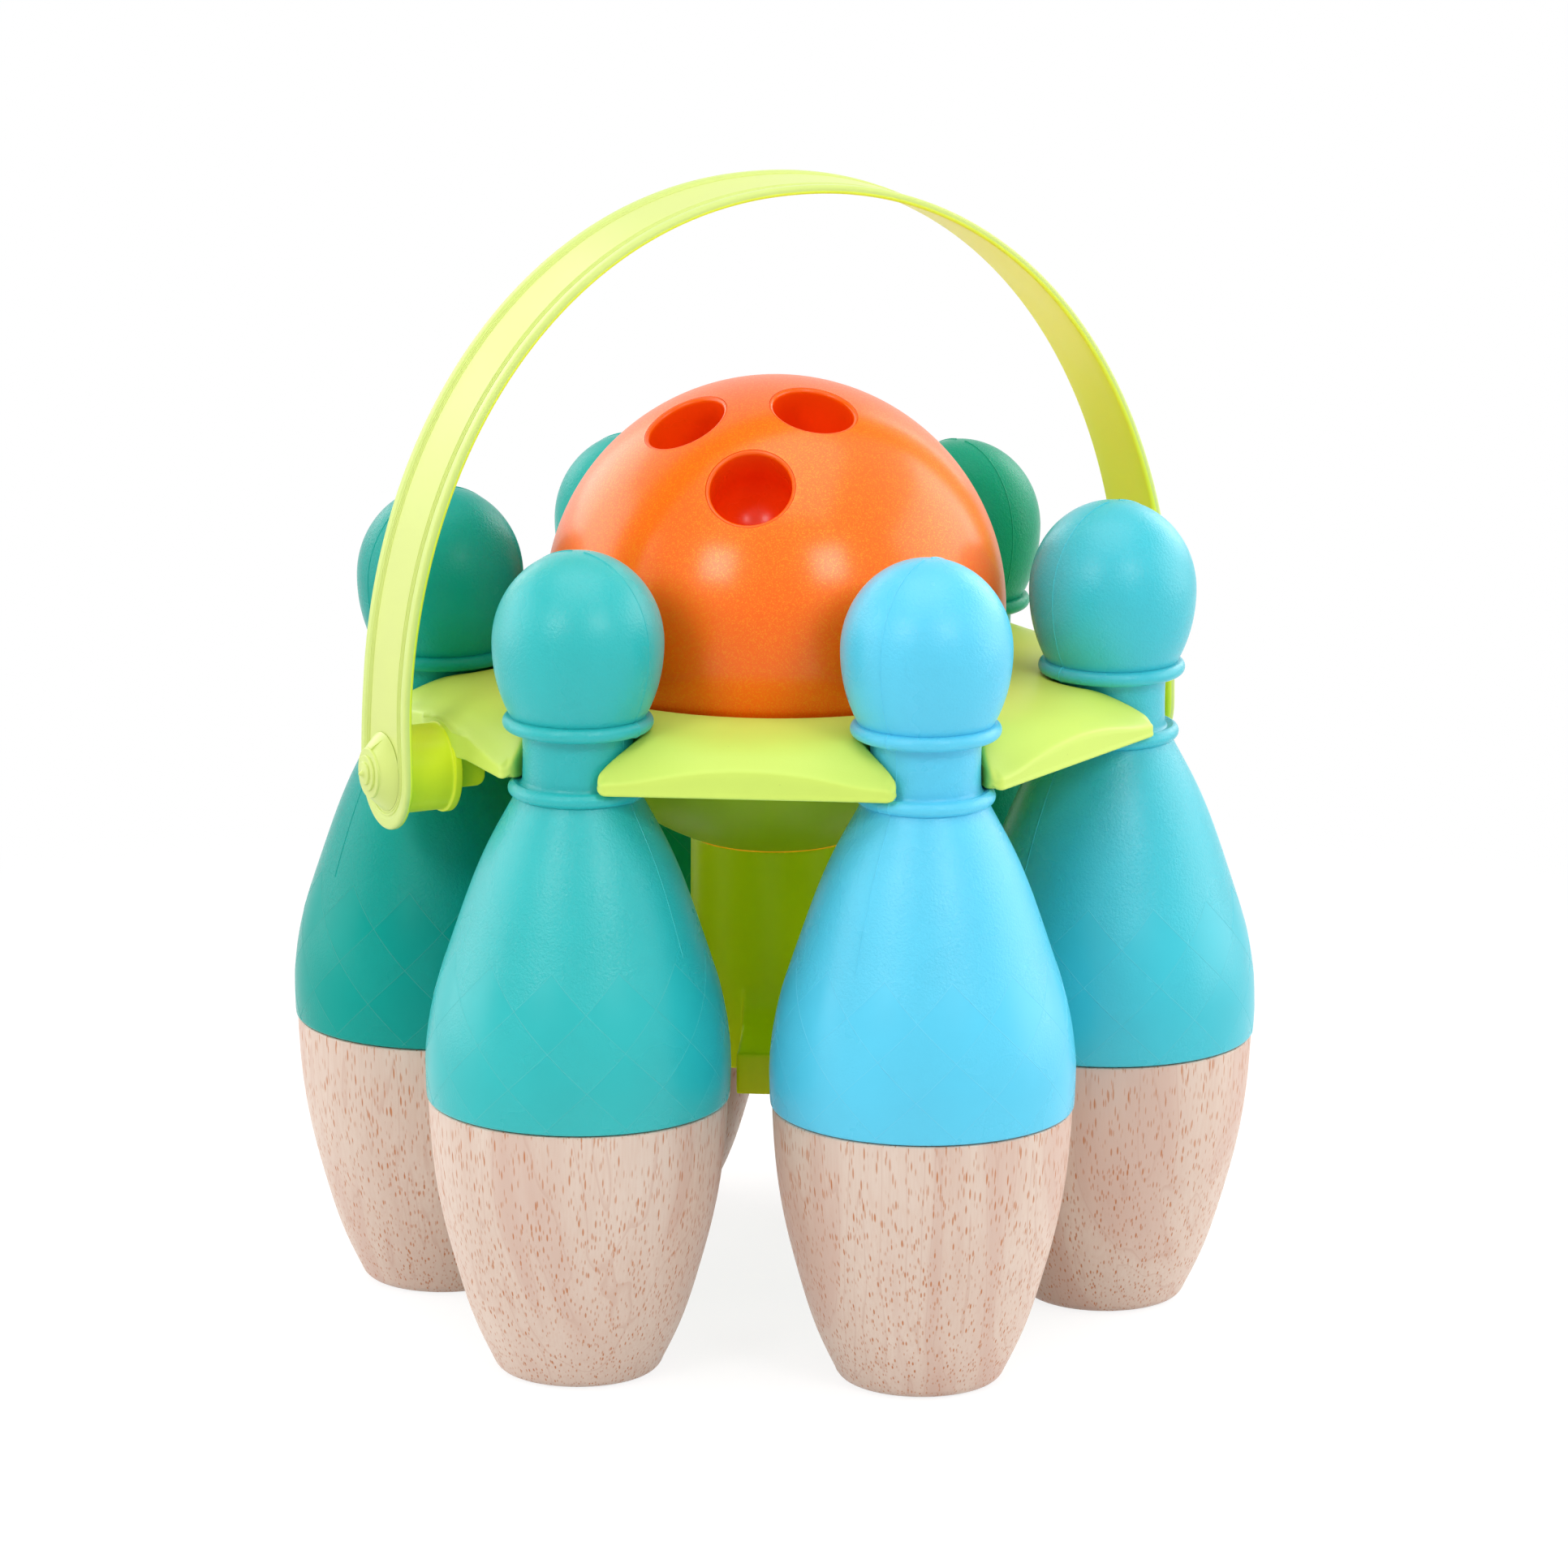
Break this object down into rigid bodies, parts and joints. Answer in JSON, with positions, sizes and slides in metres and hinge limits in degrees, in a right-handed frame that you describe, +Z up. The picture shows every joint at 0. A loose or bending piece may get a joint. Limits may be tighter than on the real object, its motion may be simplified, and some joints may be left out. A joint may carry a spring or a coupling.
{
  "type": "toy bowling set",
  "caption": "Toy bowling set: hollow-topped pins with turned wooden bases stand in the slots of a petalled carrier that seats a ball with finger holes under a swinging strap handle.",
  "frame": {"origin": "on the floor under the centre of the ring of pins", "axes": "+Z up, +X along the handle's pivot axis, so the strap stands in the XZ plane"},
  "size_m": [0.226, 0.2422, 0.2835],
  "materials": {
    "lime_plastic": "fine satin moulding",
    "pale_lime_plastic": "satin, flexible",
    "pearl_orange": "pearlescent, soft gloss",
    "cup_orange": "soft gloss",
    "pale_wood": "satin lacquer over open pores",
    "sky_blue_plastic": "fine grained satin",
    "turquoise_plastic": "fine grained satin",
    "deep_green_plastic": "fine grained satin",
    "sea_green_plastic": "fine grained satin",
    "dark_teal_plastic": "fine grained satin",
    "aqua_green_plastic": "fine grained satin"
  },
  "bodies": {
    "carrier": {"tray": "lime_plastic", "column": "lime_plastic", "pivot_bracket_left": "lime_plastic", "pivot_bracket_right": "lime_plastic"},
    "handle": {"handle_strap": "pale_lime_plastic", "handle_stud_left": "pale_lime_plastic", "handle_stud_right": "pale_lime_plastic"},
    "ball": {"ball_upper_shell": "pearl_orange", "ball_lower_shell": "pearl_orange", "finger_cup_1": "cup_orange", "finger_cup_2": "cup_orange", "finger_cup_3": "cup_orange"},
    "pin_1": {"pin_shell_1": "sky_blue_plastic", "pin_base_1": "pale_wood"},
    "pin_2": {"pin_shell_2": "turquoise_plastic", "pin_base_2": "pale_wood"},
    "pin_3": {"pin_shell_3": "deep_green_plastic", "pin_base_3": "pale_wood"},
    "pin_4": {"pin_shell_4": "sea_green_plastic", "pin_base_4": "pale_wood"},
    "pin_5": {"pin_shell_5": "dark_teal_plastic", "pin_base_5": "pale_wood"},
    "pin_6": {"pin_shell_6": "aqua_green_plastic", "pin_base_6": "pale_wood"}
  },
  "joints": [
    {"name": "handle_swing", "type": "hinge", "parent": "carrier", "child": "handle", "pos_m": [0, 0, 0.144], "axis": [1, 0, 0], "range_deg": [-100, 100]},
    {"name": "ball_lift", "type": "slide", "parent": "carrier", "child": "ball", "axis": [0, 0, 1], "range_m": [0, 0.043]},
    {"name": "pin_1_out", "type": "slide", "parent": "carrier", "child": "pin_1", "axis": [0, 1, 0], "range_m": [-0.03, 0]},
    {"name": "pin_2_out", "type": "slide", "parent": "carrier", "child": "pin_2", "axis": [-0.866, 0.5, 0], "range_m": [-0.03, 0]},
    {"name": "pin_3_out", "type": "slide", "parent": "carrier", "child": "pin_3", "axis": [0.866, 0.5, 0], "range_m": [0, 0.03]},
    {"name": "pin_4_out", "type": "slide", "parent": "carrier", "child": "pin_4", "axis": [0, 1, 0], "range_m": [0, 0.03]},
    {"name": "pin_5_out", "type": "slide", "parent": "carrier", "child": "pin_5", "axis": [-0.866, 0.5, 0], "range_m": [0, 0.03]},
    {"name": "pin_6_out", "type": "slide", "parent": "carrier", "child": "pin_6", "axis": [0.866, 0.5, 0], "range_m": [-0.03, 0]}
  ]
}
